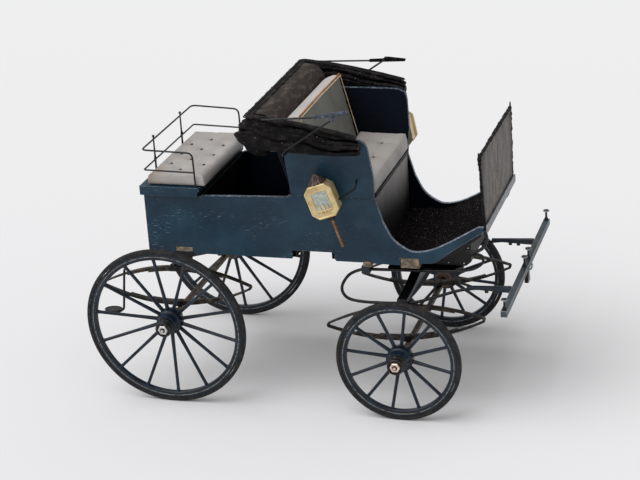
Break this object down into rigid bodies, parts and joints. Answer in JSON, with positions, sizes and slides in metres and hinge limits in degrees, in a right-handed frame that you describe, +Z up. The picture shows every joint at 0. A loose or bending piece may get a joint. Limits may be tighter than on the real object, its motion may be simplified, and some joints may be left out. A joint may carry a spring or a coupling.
{
  "type": "phaeton scale model",
  "caption": "Scale model of a horse-drawn phaeton with turning spoked wheels, steering fore-carriage, folding hood, open rear boot and side lamps.",
  "frame": {"origin": "on the ground under the middle of the model's length and width", "axes": "+X forward towards the splinter bar, +Y to the carriage's left, +Z up"},
  "size_m": [0.3602, 0.2134, 0.2614],
  "materials": {
    "body_paint": "dark blue gloss paint on wood, worn at the edges",
    "dark_paint": "blue-black gloss paint on wood",
    "bare_wood": "raw scraped end grain",
    "tyre_rubber": "charcoal, dull",
    "black_iron": "black gloss paint on iron wire",
    "spring_steel": "black paint rubbed brown",
    "hub_metal": "bare bright nut",
    "seat_leather": "pale grey buttoned leather",
    "hood_leather": "black creased leather",
    "dash_leather": "grey-black leather",
    "felt": "black felt with brown flecks",
    "lamp_gilt": "gilt",
    "copper": "copper brown",
    "mirror_glass": "mirrored lamp window"
  },
  "bodies": {
    "carriage_body": {"body_floor": "dark_paint", "rear_panel": "body_paint", "boot_rear_wall": "dark_paint", "boot_front_wall": "dark_paint", "seat_riser": "body_paint", "seat_board": "dark_paint", "rear_seat_board": "body_paint", "seat_back_board": "dark_paint", "toe_board": "dark_paint", "front_transom": "bare_wood", "rear_transom": "bare_wood", "seat_batten": "bare_wood", "main_cushion": "seat_leather", "backrest_squab": "seat_leather", "rear_cushion": "seat_leather", "floor_felt": "felt", "rear_seat_rail": "black_iron", "dash_panel": "dash_leather", "dash_rail": "dash_leather", "dash_frame": "black_iron", "rear_axle": "black_iron", "side_panel_right": "body_paint", "side_panel_left": "body_paint", "quarter_panel_right": "body_paint", "quarter_panel_left": "body_paint", "toe_iron_right": "black_iron", "toe_iron_left": "black_iron", "rear_spring_right": "spring_steel", "rear_spring_left": "spring_steel", "step_iron_right": "black_iron", "step_iron_left": "black_iron", "landau_strut_right": "black_iron", "landau_strut_left": "black_iron"},
    "fore_carriage": {"king_plate": "black_iron", "bolster": "dark_paint", "sway_bar": "dark_paint", "front_axle": "black_iron", "splinter_bar": "dark_paint", "wheel_iron_right": "black_iron", "wheel_iron_left": "black_iron", "front_spring_right": "spring_steel", "front_spring_left": "spring_steel"},
    "rear_wheel_right": {"rear_wheel_right": "dark_paint", "rear_tyre_right": "tyre_rubber"},
    "rear_wheel_left": {"rear_wheel_left": "dark_paint", "rear_tyre_left": "tyre_rubber"},
    "front_wheel_right": {"front_wheel_right": "dark_paint", "front_tyre_right": "tyre_rubber"},
    "front_wheel_left": {"front_wheel_left": "dark_paint", "front_tyre_left": "tyre_rubber"},
    "hood": {"hood_stack": "hood_leather"},
    "landau_rod_right": {"landau_rod_right": "black_iron"},
    "landau_rod_left": {"landau_rod_left": "black_iron"},
    "lamp_right": {"lamp_case_right": "lamp_gilt", "lamp_chimney_right": "copper", "lamp_stem_right": "copper"},
    "lamp_left": {"lamp_case_left": "lamp_gilt", "lamp_chimney_left": "copper", "lamp_stem_left": "copper"}
  },
  "joints": [
    {"name": "steer", "type": "hinge", "parent": "carriage_body", "child": "fore_carriage", "pos_m": [0.0885, 0, 0.117], "axis": [0, 0, 1], "range_deg": [-35, 35]},
    {"name": "rear_wheel_right_spin", "type": "hinge", "parent": "carriage_body", "child": "rear_wheel_right", "pos_m": [-0.11, -0.0932, 0.06999], "axis": [0, 0.9989, 0.047], "continuous": true},
    {"name": "rear_wheel_left_spin", "type": "hinge", "parent": "carriage_body", "child": "rear_wheel_left", "pos_m": [-0.11, 0.0932, 0.06999], "axis": [0, 0.9989, -0.047], "continuous": true},
    {"name": "front_wheel_right_spin", "type": "hinge", "parent": "fore_carriage", "child": "front_wheel_right", "pos_m": [0.0885, -0.0921, 0.052], "axis": [0, 1, 0], "continuous": true},
    {"name": "front_wheel_left_spin", "type": "hinge", "parent": "fore_carriage", "child": "front_wheel_left", "pos_m": [0.0885, 0.0921, 0.052], "axis": [0, 1, 0], "continuous": true},
    {"name": "hood_raise", "type": "hinge", "parent": "carriage_body", "child": "hood", "pos_m": [0.0515, 0, 0.229], "axis": [0, 1, 0], "range_deg": [0, 75]},
    {"name": "landau_rod_right_fold", "type": "hinge", "parent": "carriage_body", "child": "landau_rod_right", "pos_m": [0.043, 0, 0.253], "axis": [0, 1, 0], "range_deg": [0, 106]},
    {"name": "landau_rod_left_fold", "type": "hinge", "parent": "carriage_body", "child": "landau_rod_left", "pos_m": [0.043, 0, 0.253], "axis": [0, 1, 0], "range_deg": [0, 106]},
    {"name": "lamp_right_tilt", "type": "hinge", "parent": "carriage_body", "child": "lamp_right", "pos_m": [0.0531, 0, 0.195], "axis": [0, 1, 0], "range_deg": [-8, 8]},
    {"name": "lamp_left_tilt", "type": "hinge", "parent": "carriage_body", "child": "lamp_left", "pos_m": [0.0531, 0, 0.195], "axis": [0, 1, 0], "range_deg": [-8, 8]}
  ],
  "couplings": [
    {"joint": "landau_rod_right_fold", "follows": "hood_raise", "ratio": 1.41},
    {"joint": "landau_rod_left_fold", "follows": "hood_raise", "ratio": 1.41}
  ]
}
